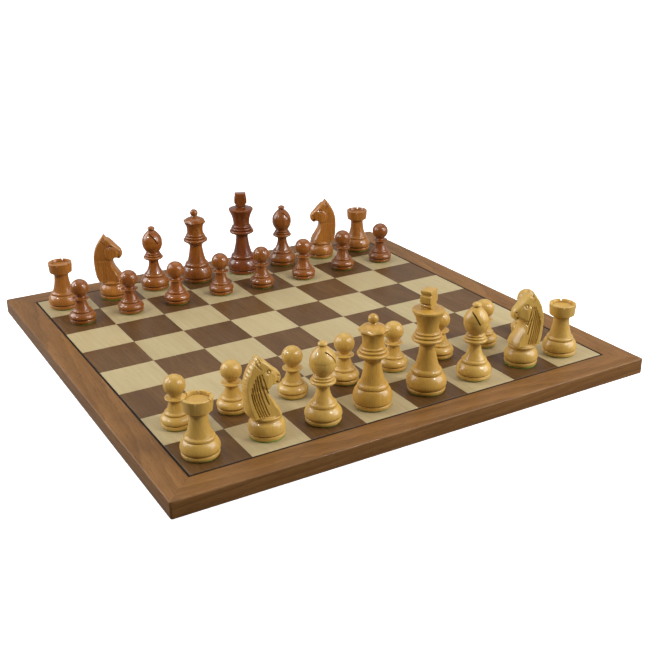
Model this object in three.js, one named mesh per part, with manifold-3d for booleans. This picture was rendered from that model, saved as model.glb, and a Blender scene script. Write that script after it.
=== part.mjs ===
// A chess set on its board, in millimetres, +Z up, built as a tree of named THREE.Mesh objects.
// The origin is the middle of the board's underside. +X runs from the a file to the h file and
// +Y from White's side to Black's, and the 32 chessmen stand in their starting places.
import * as THREE from 'three';
import { mergeVertices } from 'three/addons/utils/BufferGeometryUtils.js';
import Module from 'manifold-3d';

const wasm = await Module();
wasm.setup();

// ---- The board ----
const SQUARE = 42;
const SQUARES_A_SIDE = 8;
const STRINGING_WIDTH = 1.5; // the dark line inlaid around the squares
const RAIL_WIDTH = 20.5;
const BOARD_THICKNESS = 12;
const VENEER_THICKNESS = 1; // squares and stringing
const BACKING_THICKNESS = 1; // the balancing sheet under the core
const TONGUE_DEPTH = 5; // the core's tongue in the groove of each rail
const TONGUE_THICKNESS = 4;
const TONGUE_CLEARANCE = 0.3;
const EASED_EDGE = 0.7; // the flat that breaks the rails' outer edges
const GLUE_LINE = 0.3; // between any two glued faces

// ---- The chessmen ----
const FELT_THICKNESS = 0.6;
const FELT_INSET = 0.5; // from the edge of the base above it
const STANDING_GAP = 0.2; // under a chessman on its square
const TURNED_SIDES = 12;
const PAWN_SIDES = 10;
const CURVE_STEPS = 2;

// Each chessman is turned as a stack of elements, listed from the base up. A radius called
// "swell" or "waist" is the one halfway up a curved element.
const KING = {
  lipRadius: 13.4, lipHeight: 2,
  bellySwell: 13.9, bellyHeight: 11, shoulderRadius: 10.8,
  ringRadius: 10.6, ringHeight: 3.6,
  stemRadius: 8.8, stemWaist: 6.6, stemHeight: 16.6, neckRadius: 5.4,
  collarFlare: 4, collarRadius: 11.1, collarHeight: 2.8,
  beadRadius: 8.9, beadHeight: 5,
  cupFootRadius: 7.6, cupWaist: 8.2, cupHeight: 13.6, cupRimRadius: 11.2,
  rimHeight: 1.4, domeRise: 1.2, finialFootRadius: 4.2, finialFootHeight: 1.2,
  finialHeight: 12.4, finialDepth: 8, finialArmSpan: 11.4, finialTopSpan: 10,
  finialFootSpan: 7.6, finialArmBottom: 3.8, finialArmTop: 8.6, finialNotch: 1,
};
const QUEEN = {
  lipRadius: 13, lipHeight: 2,
  bellySwell: 13.4, bellyHeight: 11.6, shoulderRadius: 10.8,
  ringRadius: 10.4, ringHeight: 3.4,
  stemRadius: 8.6, stemWaist: 6.7, stemHeight: 15.4, neckRadius: 5.7,
  collarFlare: 4.2, collarRadius: 10.8, collarHeight: 2.8,
  beadRadius: 8.6, beadHeight: 4.2,
  cupFootRadius: 7.4, cupWaist: 7, cupHeight: 6.8, cupTopRadius: 7.6,
  coronetFlare: 3.4, coronetRadius: 10.4, coronetRim: 0.5,
  domeRadius: 5.6, domeSwell: 8.9, domeHeight: 3.6,
  ballNeckHeight: 1.9, ballNeckRadius: 2.4, ballRadius: 3.5,
  scallops: 8, scallopRadius: 5.2, scallopDepth: 0.9,
};
const BISHOP = {
  lipRadius: 12, lipHeight: 1.8,
  bellySwell: 12.2, bellyHeight: 9, shoulderRadius: 9.2,
  ringRadius: 9.2, ringHeight: 3,
  stemRadius: 7.4, stemWaist: 5.2, stemHeight: 10.2, neckRadius: 4.3,
  collarFlare: 3, collarRadius: 8.4, collarHeight: 2.6,
  beadRadius: 6.9, beadHeight: 3.4,
  mitreFootRadius: 5.8, mitreSwell: 8.1, mitreLowHeight: 9.6, mitreRadius: 8.7,
  mitreShoulder: 7.2, mitreHighHeight: 10.4, mitreTipRadius: 2.3,
  buttonRadius: 2.9, buttonHeight: 3.4,
  slotWidth: 1, slotHeight: 9, slotDepth: 6, slotLean: THREE.MathUtils.degToRad(28),
};
const KNIGHT = {
  lipRadius: 12.5, lipHeight: 1.9,
  bellySwell: 12.9, bellyHeight: 10.9, shoulderRadius: 10.6,
  discRadius: 9.8, discHeight: 2.5,
  tenonRadius: 3.5, tenonDepth: 7,
  headHeight: 40.6, headThicknessLow: 17, headThicknessHigh: 9,
};
const ROOK = {
  lipRadius: 12.3, lipHeight: 1.9,
  bellySwell: 12.7, bellyHeight: 9.2, shoulderRadius: 10,
  ringRadius: 9.9, ringHeight: 2.6,
  stemRadius: 8.4, stemWaist: 6.3, stemHeight: 12.8, neckRadius: 5.8,
  towerFlare: 5, towerFootRadius: 9.5, towerHeight: 7.6, towerRadius: 9.8,
  wallThickness: 2.2, recessDepth: 2.8,
  slots: 3, slotWidth: 1.2, slotDepth: 2.2,
};
const PAWN = {
  lipRadius: 10.3, lipHeight: 1.6,
  bellySwell: 10.6, bellyHeight: 6.4, shoulderRadius: 7.9,
  ringRadius: 7.7, ringHeight: 2.4,
  stemRadius: 6.6, stemWaist: 5.2, stemHeight: 7.8, neckRadius: 4.3,
  collarRadius: 7, collarHeight: 1.8,
  ballNeckHeight: 2.4, ballNeckRadius: 4.4, ballRadius: 7.4,
};

// How the carved and slotted chessmen are turned on their squares, anticlockwise from +X.
const KNIGHT_FACING = {
  white_b: THREE.MathUtils.degToRad(-8),
  white_g: THREE.MathUtils.degToRad(195),
  black_b: THREE.MathUtils.degToRad(-30),
  black_g: THREE.MathUtils.degToRad(165),
};
const BISHOP_FACING = {
  white_c: THREE.MathUtils.degToRad(-50),
  white_f: THREE.MathUtils.degToRad(-110),
  black_c: THREE.MathUtils.degToRad(-80),
  black_f: THREE.MathUtils.degToRad(-60),
};
const KING_FACING = THREE.MathUtils.degToRad(-25);

// Chessmen set down by hand a little off the middle of their squares, along X and Y.
const OFF_MIDDLE = {
  white_rook_a: [-5, -1],
  white_rook_h: [-3, -1],
  white_bishop_c: [-1, -2],
  white_queen: [-3, 0],
  white_knight_g: [2, 0],
  white_pawn_a: [-3, 0],
  white_pawn_b: [-4, 1],
  black_rook_a: [-3, 0],
  black_bishop_c: [-3, 2],
  black_queen: [-4, 1],
  black_pawn_e: [-3, -3],
  black_pawn_f: [-2, -3],
};

// ---- Sizes that follow from the ones above ----
const FIELD = SQUARE * SQUARES_A_SIDE;
const STRINGING_SIDE = FIELD + 2 * STRINGING_WIDTH;
const BOARD_SIDE = STRINGING_SIDE + 2 * RAIL_WIDTH;
const CORE_BOTTOM = BACKING_THICKNESS + GLUE_LINE;
const CORE_TOP = BOARD_THICKNESS - VENEER_THICKNESS - GLUE_LINE;
const CORE_SIDE = STRINGING_SIDE - 2 * GLUE_LINE;
const TONGUE_MIDDLE = (CORE_BOTTOM + CORE_TOP) / 2;
const FELT_BOTTOM = BOARD_THICKNESS + STANDING_GAP;
const BASE_BOTTOM = FELT_BOTTOM + FELT_THICKNESS + GLUE_LINE;

// ---- Materials ----
function wood(colour, roughness) {
  return new THREE.MeshStandardMaterial({ color: colour, roughness, metalness: 0 });
}

const MATERIALS = {
  walnut: wood(0x8a6644, 0.45),
  core: wood(0xb99b6f, 0.8),
  squares: wood(0xc9b48c, 0.4),
  stringing: wood(0x2c1c12, 0.4),
  white: wood(0xd9bd7a, 0.3),
  black: wood(0x9a4a1c, 0.25),
  felt: wood(0x1f7a34, 0.95),
};

// ---- Solids, and cuts between them ----

// The same surface with its shared corners merged and its needle-thin triangles left out.
function welded(geometry) {
  const bare = geometry.clone();
  bare.deleteAttribute('normal');
  bare.deleteAttribute('uv');
  const merged = mergeVertices(bare, 1e-4);
  const corners = merged.index.array;
  const kept = [];
  for (let i = 0; i < corners.length; i += 3) {
    const [a, b, c] = corners.slice(i, i + 3);
    if (a !== b && b !== c && c !== a) kept.push(a, b, c);
  }
  merged.setIndex(kept);
  return merged;
}

function toSolid(geometry) {
  const source = welded(geometry);
  return new wasm.Manifold(new wasm.Mesh({
    numProp: 3,
    vertProperties: new Float32Array(source.attributes.position.array),
    triVerts: new Uint32Array(source.index.array),
  }));
}

function toGeometry(solid) {
  const mesh = solid.getMesh();
  const geometry = new THREE.BufferGeometry();
  geometry.setAttribute('position', new THREE.BufferAttribute(mesh.vertProperties, 3));
  geometry.setIndex(new THREE.BufferAttribute(mesh.triVerts, 1));
  return geometry;
}

function joined(first, second) {
  return toGeometry(toSolid(first).add(toSolid(second)));
}

function cut(body, cutters) {
  return toGeometry(cutters.reduce((rest, cutter) => rest.subtract(toSolid(cutter)), toSolid(body)));
}

// ---- Turning ----

// A turned profile: a path of (radius, height) points that starts and ends on the axis.
class Profile extends THREE.Path {
  constructor(bottom = 0) {
    super();
    this.moveTo(0, bottom);
  }

  straight(radius, rise = 0) {
    this.lineTo(radius, this.currentPoint.y + rise);
    return this;
  }

  // A curve that passes through the radius "middle" halfway up.
  curve(radius, rise, middle) {
    const control = 2 * middle - (this.currentPoint.x + radius) / 2;
    const { y } = this.currentPoint;
    this.quadraticCurveTo(control, y + rise / 2, radius, y + rise);
    return this;
  }

  // A ball on the neck already turned, up to its top on the axis.
  ball(radius) {
    const neck = this.currentPoint.x;
    const centre = this.currentPoint.y + Math.sqrt(radius ** 2 - neck ** 2);
    this.absarc(0, centre, radius, -Math.acos(neck / radius), Math.PI / 2, false);
    return this;
  }

  turned(sides) {
    return new THREE.LatheGeometry(this.getPoints(CURVE_STEPS), sides);
  }
}

// The base that every chessman has: a lip at the bottom, then a full belly up to the shoulder.
// A pawn's felt is no mesh of its own, so its profile starts with the felt's edge.
function baseProfile(size) {
  const start = size === PAWN
    ? new Profile(FELT_BOTTOM - BASE_BOTTOM)
      .straight(size.lipRadius - FELT_INSET)
      .straight(size.lipRadius - FELT_INSET, BASE_BOTTOM - FELT_BOTTOM)
    : new Profile();
  return start
    .straight(size.lipRadius)
    .straight(size.lipRadius, size.lipHeight)
    .curve(size.shoulderRadius, size.bellyHeight, size.bellySwell);
}

// The base with the ring on its shoulder and the stem up to the neck.
function stemProfile(size) {
  return baseProfile(size)
    .curve(size.stemRadius, size.ringHeight, size.ringRadius)
    .curve(size.neckRadius, size.stemHeight, size.stemWaist);
}

// The stem with the broad collar and the bead above it, which kings, queens and bishops have.
function collaredProfile(size, headRadius) {
  const underCollar = (size.neckRadius + size.collarRadius) / 2;
  return stemProfile(size)
    .straight(underCollar, size.collarFlare)
    .curve(size.beadRadius, size.collarHeight, size.collarRadius)
    .straight(headRadius, size.beadHeight);
}

function kingGeometry(size) {
  const profile = collaredProfile(size, size.cupFootRadius)
    .curve(size.cupRimRadius, size.cupHeight, size.cupWaist)
    .straight(size.cupRimRadius, size.rimHeight)
    .straight(size.finialFootRadius, size.domeRise)
    .straight(size.finialFootRadius, size.finialFootHeight);
  const finialBottom = profile.currentPoint.y - size.finialFootHeight / 2;
  profile.straight(0);
  const finial = finialGeometry(size).translate(0, 0, finialBottom);
  return joined(upright(profile.turned(TURNED_SIDES)), finial);
}

// The king's finial: a thick cross whose arms are so short that only a notch above and below
// each one sets it off from the block.
function finialGeometry(size) {
  const arm = size.finialArmSpan / 2;
  const notched = arm - 2 * size.finialNotch;
  const rightEdge = [
    [size.finialFootSpan / 2, 0],
    [arm - size.finialNotch, size.finialArmBottom - 2 * size.finialNotch],
    [notched, size.finialArmBottom - size.finialNotch],
    [arm, size.finialArmBottom],
    [arm, size.finialArmTop],
    [notched, size.finialArmTop + size.finialNotch],
    [size.finialTopSpan / 2, size.finialArmTop + 2 * size.finialNotch],
    [size.finialTopSpan / 2, size.finialHeight],
  ];
  const leftEdge = rightEdge.map(([x, y]) => [-x, y]).reverse();
  const outline = new THREE.Shape(
    [...rightEdge, ...leftEdge].map(([x, y]) => new THREE.Vector2(x, y)),
  );
  const block = new THREE.ExtrudeGeometry(outline, { depth: size.finialDepth, bevelEnabled: false });
  return block.translate(0, 0, -size.finialDepth / 2).rotateX(Math.PI / 2);
}

function queenGeometry(size) {
  const profile = collaredProfile(size, size.cupFootRadius)
    .curve(size.cupTopRadius, size.cupHeight, size.cupWaist)
    .straight(size.coronetRadius, size.coronetFlare)
    .straight(size.coronetRadius, size.coronetRim)
    .curve(size.domeRadius, size.domeHeight, size.domeSwell)
    .straight(size.ballNeckRadius, size.ballNeckHeight);
  const coronetTop = profile.currentPoint.y;
  profile.ball(size.ballRadius);
  return cut(upright(profile.turned(2 * size.scallops)), scallopCutters(size, coronetTop));
}

// Upright rollers that each cut one scallop out of the queen's coronet.
function scallopCutters(size, coronetTop) {
  const height = size.coronetFlare + size.coronetRim + size.domeHeight + size.ballNeckHeight;
  const reach = size.coronetRadius + size.scallopRadius - size.scallopDepth;
  return Array.from({ length: size.scallops }, (_, i) => new THREE.CylinderGeometry(
    size.scallopRadius, size.scallopRadius, height, TURNED_SIDES,
  ).rotateX(Math.PI / 2).translate(reach, 0, coronetTop - height / 2)
    .rotateZ((i + 0.5) * 2 * Math.PI / size.scallops));
}

function bishopGeometry(size) {
  const profile = collaredProfile(size, size.mitreFootRadius);
  const mitreFoot = profile.currentPoint.y;
  profile
    .curve(size.mitreRadius, size.mitreLowHeight, size.mitreSwell)
    .curve(size.mitreTipRadius, size.mitreHighHeight, size.mitreShoulder)
    .curve(0, size.buttonHeight, size.buttonRadius);
  const slot = new THREE.BoxGeometry(2 * size.mitreRadius, size.slotWidth, size.slotHeight)
    .translate(size.mitreRadius, 0, size.slotHeight / 2)
    .rotateX(size.slotLean)
    .translate(size.mitreRadius - size.slotDepth, 0, mitreFoot + size.mitreLowHeight);
  return cut(upright(profile.turned(TURNED_SIDES)), [slot]);
}

function rookGeometry(size) {
  const profile = stemProfile(size)
    .straight(size.towerFootRadius, size.towerFlare)
    .straight(size.towerRadius, size.towerHeight);
  const top = profile.currentPoint.y;
  profile
    .straight(size.towerRadius - size.wallThickness)
    .straight(size.towerRadius - size.wallThickness, -size.recessDepth)
    .straight(0);
  const slots = Array.from({ length: size.slots }, (_, i) => new THREE.BoxGeometry(
    3 * size.towerRadius, size.slotWidth, 2 * size.slotDepth,
  ).rotateZ((i + 0.5) * Math.PI / size.slots).translate(0, 0, top));
  return cut(upright(profile.turned(TURNED_SIDES)), slots);
}

function pawnGeometry(size) {
  const profile = stemProfile(size)
    .curve(size.ballNeckRadius, size.collarHeight, size.collarRadius)
    .straight(size.ballNeckRadius, size.ballNeckHeight)
    .ball(size.ballRadius);
  return upright(profile.turned(PAWN_SIDES));
}

// The knight's turned base, with a blind bore in its top for the head's tenon.
function knightBaseGeometry(size) {
  const bore = size.tenonRadius + GLUE_LINE;
  const profile = baseProfile(size)
    .straight(size.discRadius)
    .straight(size.discRadius, size.discHeight)
    .straight(bore)
    .straight(bore, -size.tenonDepth - GLUE_LINE)
    .straight(0);
  return upright(profile.turned(TURNED_SIDES));
}

// A horse's head and neck in outline, nose towards +X, as shares of the head's height: x forward
// of the tenon's axis and y up from the foot of the neck.
function horseOutline() {
  const outline = new THREE.Shape();
  outline.moveTo(-0.29, 0);
  outline.lineTo(0.22, 0);
  outline.quadraticCurveTo(0.22, 0.1, 0.15, 0.15); // chest
  outline.lineTo(-0.06, 0.39); // throat
  outline.lineTo(0.02, 0.44); // jaw
  outline.quadraticCurveTo(0.07, 0.49, 0.11, 0.44);
  outline.lineTo(0.16, 0.45); // chin
  outline.quadraticCurveTo(0.23, 0.55, 0.18, 0.66); // nose
  outline.lineTo(-0.04, 0.87); // forehead
  outline.lineTo(-0.13, 0.92);
  outline.lineTo(-0.18, 1); // ears
  outline.lineTo(-0.26, 0.88);
  outline.quadraticCurveTo(-0.61, 0.48, -0.29, 0); // crest of the neck
  return outline;
}

// The carved head: the outline sawn from a blank that tapers towards the ears, on its tenon.
function knightHeadGeometry(size) {
  const blank = new THREE.ExtrudeGeometry(horseOutline(), {
    depth: 1, bevelEnabled: false, curveSegments: CURVE_STEPS,
  });
  const place = blank.attributes.position;
  for (let i = 0; i < place.count; i += 1) {
    const level = place.getY(i);
    const thickness = THREE.MathUtils.lerp(size.headThicknessLow, size.headThicknessHigh, level);
    const side = (place.getZ(i) - 0.5) * thickness;
    place.setXYZ(i, place.getX(i) * size.headHeight, -side, level * size.headHeight);
  }
  const sunk = GLUE_LINE; // so that head and tenon overlap and join
  const tenon = new THREE.CylinderGeometry(
    size.tenonRadius, size.tenonRadius, size.tenonDepth + sunk, TURNED_SIDES,
  ).rotateX(Math.PI / 2).translate(0, 0, (sunk - size.tenonDepth) / 2);
  return joined(blank, tenon);
}

// three's lathe turns around +Y, so a turned piece is stood up along +Z.
function upright(geometry) {
  return geometry.rotateX(Math.PI / 2);
}

// ---- The board's pieces ----

function sheet(side, bottom, top) {
  return new THREE.BoxGeometry(side, side, top - bottom).translate(0, 0, (bottom + top) / 2);
}

// The core panel, with a tongue around its four edges.
function coreGeometry() {
  const core = sheet(CORE_SIDE, CORE_BOTTOM, CORE_TOP);
  const tongue = sheet(
    CORE_SIDE + 2 * TONGUE_DEPTH,
    TONGUE_MIDDLE - TONGUE_THICKNESS / 2,
    TONGUE_MIDDLE + TONGUE_THICKNESS / 2,
  );
  return joined(core, tongue);
}

function squareOutline(side) {
  const half = side / 2;
  return [[-half, -half], [half, -half], [half, half], [-half, half]].map(
    ([x, y]) => new THREE.Vector2(x, y),
  );
}

function stringingGeometry() {
  const ring = new THREE.Shape(squareOutline(STRINGING_SIDE - 2 * GLUE_LINE));
  ring.holes.push(new THREE.Path(squareOutline(FIELD)));
  return new THREE.ExtrudeGeometry(ring, { depth: VENEER_THICKNESS, bevelEnabled: false })
    .translate(0, 0, BOARD_THICKNESS - VENEER_THICKNESS);
}

// A rail's section: x inwards from the outer face and y up, grooved for the core's tongue.
function railSection() {
  const grooveBottom = TONGUE_MIDDLE - TONGUE_THICKNESS / 2 - TONGUE_CLEARANCE;
  const grooveTop = TONGUE_MIDDLE + TONGUE_THICKNESS / 2 + TONGUE_CLEARANCE;
  const grooveEnd = RAIL_WIDTH - TONGUE_DEPTH;
  return new THREE.Shape([
    [EASED_EDGE, 0],
    [RAIL_WIDTH, 0],
    [RAIL_WIDTH, grooveBottom],
    [grooveEnd, grooveBottom],
    [grooveEnd, grooveTop],
    [RAIL_WIDTH, grooveTop],
    [RAIL_WIDTH, BOARD_THICKNESS],
    [EASED_EDGE, BOARD_THICKNESS],
    [0, BOARD_THICKNESS - EASED_EDGE],
    [0, EASED_EDGE],
  ].map(([x, y]) => new THREE.Vector2(x, y)));
}

// The front rail, along X, with both of its ends mitred at 45 degrees.
function railGeometry() {
  const rail = new THREE.ExtrudeGeometry(railSection(), { depth: 1, bevelEnabled: false });
  const place = rail.attributes.position;
  for (let i = 0; i < place.count; i += 1) {
    const inwards = place.getX(i);
    const halfLength = BOARD_SIDE / 2 - inwards - GLUE_LINE / 2;
    const end = place.getZ(i) < 0.5 ? 1 : -1;
    place.setXYZ(i, -end * halfLength, inwards - BOARD_SIDE / 2, place.getY(i));
  }
  return rail;
}

// ---- Assembly ----

function named(name, geometry, material) {
  const mesh = new THREE.Mesh(welded(geometry), material.clone());
  mesh.name = name;
  return mesh;
}

function boardGroup() {
  const board = new THREE.Group();
  const rail = railGeometry();
  ['rail_front', 'rail_right', 'rail_back', 'rail_left'].forEach((name, quarter) => {
    const mesh = named(name, rail.clone(), MATERIALS.walnut);
    mesh.rotation.z = quarter * Math.PI / 2;
    board.add(mesh);
  });
  board.add(named('core_panel', coreGeometry(), MATERIALS.core));
  board.add(named('backing_sheet', sheet(CORE_SIDE, 0, BACKING_THICKNESS), MATERIALS.walnut));
  const veneerBottom = BOARD_THICKNESS - VENEER_THICKNESS;
  const field = sheet(FIELD - 2 * GLUE_LINE, veneerBottom, BOARD_THICKNESS);
  board.add(named('playing_field', field, MATERIALS.squares));
  board.add(named('stringing', stringingGeometry(), MATERIALS.stringing));
  return board;
}

function feltGeometry(size) {
  const radius = size.lipRadius - FELT_INSET;
  const felt = new THREE.CylinderGeometry(radius, radius, FELT_THICKNESS, PAWN_SIDES);
  return felt.rotateX(Math.PI / 2).translate(0, 0, FELT_BOTTOM + FELT_THICKNESS / 2);
}

// A chessman on its square: the turned body and, but for pawns, the felt under it.
function chessman(name, file, rank, body, size, material, facing) {
  const group = new THREE.Group();
  const middle = (SQUARES_A_SIDE - 1) / 2;
  const [aside, ahead] = OFF_MIDDLE[name] ?? [0, 0];
  group.position.set((file - middle) * SQUARE + aside, (rank - middle) * SQUARE + ahead, 0);
  group.rotation.z = facing;
  const mesh = named(name, body, material);
  mesh.position.z = BASE_BOTTOM;
  group.add(mesh);
  if (size !== PAWN) group.add(named(`${name}_felt`, feltGeometry(size), MATERIALS.felt));
  return group;
}

function knight(side, fileLetter, file, rank, material) {
  const facing = KNIGHT_FACING[`${side}_${fileLetter}`];
  const name = `${side}_knight_${fileLetter}`;
  const group = chessman(name, file, rank, knightBaseGeometry(KNIGHT), KNIGHT, material, facing);
  const head = named(`${name}_head`, knightHeadGeometry(KNIGHT), material);
  const baseHeight = KNIGHT.lipHeight + KNIGHT.bellyHeight + KNIGHT.discHeight;
  head.position.z = BASE_BOTTOM + baseHeight + GLUE_LINE;
  group.add(head);
  return group;
}

// One side's sixteen: the back rank from the a file to the h file, then the pawns.
function army(side, backRank, pawnRank, material) {
  const group = new THREE.Group();
  const letters = 'abcdefgh';
  const stand = (kind, letter, body, size, facing = 0, rank = backRank) => {
    const name = kind === 'king' || kind === 'queen' ? `${side}_${kind}` : `${side}_${kind}_${letter}`;
    group.add(chessman(name, letters.indexOf(letter), rank, body, size, material, facing));
  };
  for (const letter of ['a', 'h']) stand('rook', letter, rookGeometry(ROOK), ROOK);
  for (const letter of ['b', 'g']) {
    group.add(knight(side, letter, letters.indexOf(letter), backRank, material));
  }
  for (const letter of ['c', 'f']) {
    stand('bishop', letter, bishopGeometry(BISHOP), BISHOP, BISHOP_FACING[`${side}_${letter}`]);
  }
  stand('queen', 'd', queenGeometry(QUEEN), QUEEN);
  stand('king', 'e', kingGeometry(KING), KING, KING_FACING);
  for (const letter of letters) stand('pawn', letter, pawnGeometry(PAWN), PAWN, 0, pawnRank);
  return group;
}

const chessSet = new THREE.Group();
chessSet.add(boardGroup());
chessSet.add(army('white', 0, 1, MATERIALS.white));
chessSet.add(army('black', SQUARES_A_SIDE - 1, SQUARES_A_SIDE - 2, MATERIALS.black));

export default chessSet;
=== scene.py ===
import math

import bmesh
import bpy
import numpy as np
from mathutils import Matrix, Vector
from mathutils.geometry import delaunay_2d_cdt


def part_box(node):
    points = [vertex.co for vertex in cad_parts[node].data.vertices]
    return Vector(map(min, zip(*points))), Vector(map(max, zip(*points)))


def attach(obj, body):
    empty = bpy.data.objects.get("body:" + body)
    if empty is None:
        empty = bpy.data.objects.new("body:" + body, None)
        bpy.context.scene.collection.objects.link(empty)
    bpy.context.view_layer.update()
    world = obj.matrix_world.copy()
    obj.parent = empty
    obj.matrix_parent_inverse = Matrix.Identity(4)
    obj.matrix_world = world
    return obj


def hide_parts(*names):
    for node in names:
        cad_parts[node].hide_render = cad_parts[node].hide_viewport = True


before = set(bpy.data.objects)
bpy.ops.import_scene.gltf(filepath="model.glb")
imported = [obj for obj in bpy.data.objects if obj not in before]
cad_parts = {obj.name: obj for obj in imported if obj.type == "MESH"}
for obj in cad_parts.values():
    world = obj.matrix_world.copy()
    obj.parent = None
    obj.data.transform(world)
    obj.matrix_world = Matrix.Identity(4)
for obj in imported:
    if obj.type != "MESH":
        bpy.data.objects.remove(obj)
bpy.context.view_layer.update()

MM = 0.001  # the sizes below are in millimetres, and Blender works in metres
SQUARES_A_SIDE = 8

# Which way the men that aren't round are turned on their squares, in degrees.
BISHOP_FACING = {"white_c": -50, "white_f": -110, "black_c": -80, "black_f": -60}
KNIGHT_FACING = {"white_b": -8, "white_g": 170, "black_b": -30, "black_g": 165}
KING_FACING = {"white": 28, "black": -25}
QUEEN_FACING = -38
ROOK_FACING = {"a": 30, "h": 85}
PAWN_TURN = 37.0  # from one file's pawn to the next, so that their grain differs


# ---- Materials ----

class Nodes:
    """A material's node tree, with one short call for each node."""

    def __init__(self, name):
        self.material = bpy.data.materials.new(name)
        self.material.use_nodes = True
        self.tree = self.material.node_tree
        self.shader = self.tree.nodes["Principled BSDF"]

    def fill(self, node, inputs):
        for socket, value in inputs.items():
            if isinstance(value, bpy.types.NodeSocket):
                self.tree.links.new(value, node.inputs[socket])
            else:
                node.inputs[socket].default_value = value

    def add(self, kind, inputs, output=0, **settings):
        node = self.tree.nodes.new("ShaderNode" + kind)
        for setting, value in settings.items():
            setattr(node, setting, value)
        self.fill(node, inputs)
        return node.outputs[output]

    def maths(self, operation, *values, clamp=False):
        return self.add("Math", dict(enumerate(values)), operation=operation, use_clamp=clamp)

    def vector(self, operation, *values):
        return self.add("VectorMath", dict(enumerate(values)), operation=operation)

    def noise(self, place, scale, detail=2.0, roughness=0.5):
        return self.add("TexNoise", {
            "Vector": place, "Scale": scale, "Detail": detail, "Roughness": roughness,
        })

    def spread(self, value, low, high, to_low=0.0, to_high=1.0):
        return self.add("MapRange", {
            "Value": value, "From Min": low, "From Max": high, "To Min": to_low, "To Max": to_high,
        })

    def mix(self, factor, first, second, blend="MIX"):
        node = self.tree.nodes.new("ShaderNodeMix")
        node.data_type = "RGBA"
        node.blend_type = blend
        self.fill(node, {0: factor, 6: first, 7: second})
        return node.outputs[2]

    def ramp(self, value, stops):
        node = self.tree.nodes.new("ShaderNodeValToRGB")
        self.fill(node, {0: value})
        elements = node.color_ramp.elements
        for place, colour in stops[2:]:
            elements.new(place)
        for element, (place, colour) in zip(elements, sorted(stops, key=lambda stop: stop[0])):
            element.position = place
            element.color = colour
        return node.outputs[0]

    def bump(self, height, strength, distance):
        return self.add("Bump", {"Height": height, "Strength": strength, "Distance": distance})


def srgb(red, green, blue):
    """A colour given as 0-255 display values, as the linear values that a shader takes."""
    def linear(value):
        value /= 255
        return value / 12.92 if value <= 0.04045 else ((value + 0.055) / 1.055) ** 2.4
    return (linear(red), linear(green), linear(blue), 1.0)


# Turns the grain, which runs along Z, onto an axis.
GRAIN_TURN = {"X": (0, math.radians(90), 0), "Y": (math.radians(90), 0, 0), "Z": (0, 0, 0)}


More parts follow.
